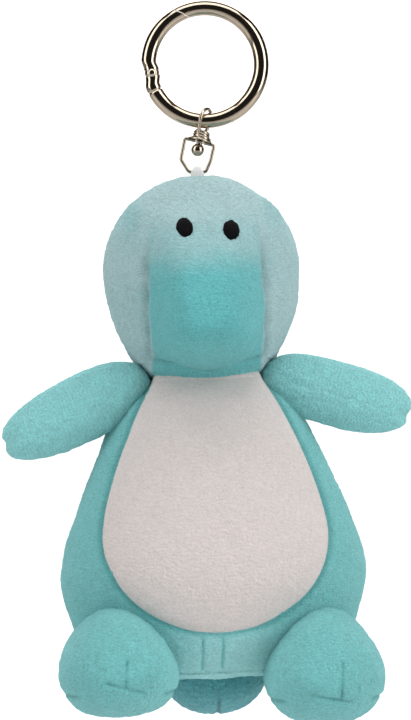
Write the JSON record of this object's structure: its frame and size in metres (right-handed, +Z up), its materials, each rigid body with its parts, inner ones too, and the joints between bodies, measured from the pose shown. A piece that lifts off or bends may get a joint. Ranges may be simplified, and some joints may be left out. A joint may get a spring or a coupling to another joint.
{
  "type": "plush keychain",
  "caption": "Small stuffed blunt-nosed animal hanging by a ribbon from a swivel and a round spring-gate ring.",
  "frame": {"origin": "centre of the gate ring", "axes": "+Z up, +X to the right seen from the front, +Y away from the front along the ring's axis"},
  "size_m": [0.1025, 0.0816, 0.1796],
  "materials": {
    "ring_metal": "polished",
    "swivel_metal": "polished",
    "pin_metal": "polished",
    "spring_steel": "satin",
    "white_ribbon": "satin",
    "filling": "matte",
    "aqua_plush": "matte",
    "pale_plush": "matte",
    "tail_plush": "matte",
    "white_plush": "matte",
    "black_thread": "satin"
  },
  "bodies": {
    "ring": {"ring_body": "ring_metal"},
    "gate": {"ring_gate": "ring_metal", "gate_pin": "pin_metal", "gate_spring": "spring_steel", "gate_plunger": "spring_steel"},
    "eye": {"swivel_eye": "swivel_metal", "swivel_rivet": "pin_metal"},
    "bail": {"swivel_bail": "swivel_metal"},
    "toy": {"ribbon_loop": "white_ribbon", "head_stuffing": "filling", "head_gusset": "aqua_plush", "head_side_left": "pale_plush", "head_side_right": "pale_plush", "eye_left": "black_thread", "eye_right": "black_thread", "body_stuffing": "filling", "belly_panel": "white_plush", "body_side_left": "aqua_plush", "body_side_right": "aqua_plush", "foot_left_upper": "aqua_plush", "foot_left_sole": "aqua_plush", "foot_left_stuffing": "filling", "foot_right_upper": "aqua_plush", "foot_right_sole": "aqua_plush", "foot_right_stuffing": "filling", "tail_left": "tail_plush", "tail_right": "tail_plush", "tail_stuffing": "filling"},
    "arm_left": {"arm_left_front": "aqua_plush", "arm_left_back": "aqua_plush", "arm_left_stuffing": "filling"},
    "arm_right": {"arm_right_front": "aqua_plush", "arm_right_back": "aqua_plush", "arm_right_stuffing": "filling"}
  },
  "joints": [
    {"name": "gate_open", "type": "hinge", "parent": "ring", "child": "gate", "pos_m": [-0.01322, 0, -0.00219], "axis": [0, 1, 0], "range_deg": [0, 34], "stiffness_Nm_per_rad": 0.02, "springref_deg": -17.19},
    {"name": "eye_slide", "type": "hinge", "parent": "ring", "child": "eye", "pos_m": [0, 0, 0], "axis": [0, 1, 0], "range_deg": [-150, 38]},
    {"name": "swivel_spin", "type": "hinge", "parent": "eye", "child": "bail", "pos_m": [0, 0, -0.0141], "axis": [0.2419, 0, 0.9703], "continuous": true},
    {"name": "toy_swing", "type": "hinge", "parent": "bail", "child": "toy", "pos_m": [-0.0019, 0, -0.0269], "axis": [1, 0, 0], "range_deg": [-60, 60]},
    {"name": "arm_left_bend", "type": "hinge", "parent": "toy", "child": "arm_left", "pos_m": [-0.03036, -0.00462, -0.08589], "axis": [-0.0523, 0.9986, -0.0021], "range_deg": [-20, 20], "stiffness_Nm_per_rad": 0.01},
    {"name": "arm_right_bend", "type": "hinge", "parent": "toy", "child": "arm_right", "pos_m": [0.03145, -0.00137, -0.08201], "axis": [-0.0523, 0.9986, -0.0021], "range_deg": [-20, 20], "stiffness_Nm_per_rad": 0.01}
  ]
}
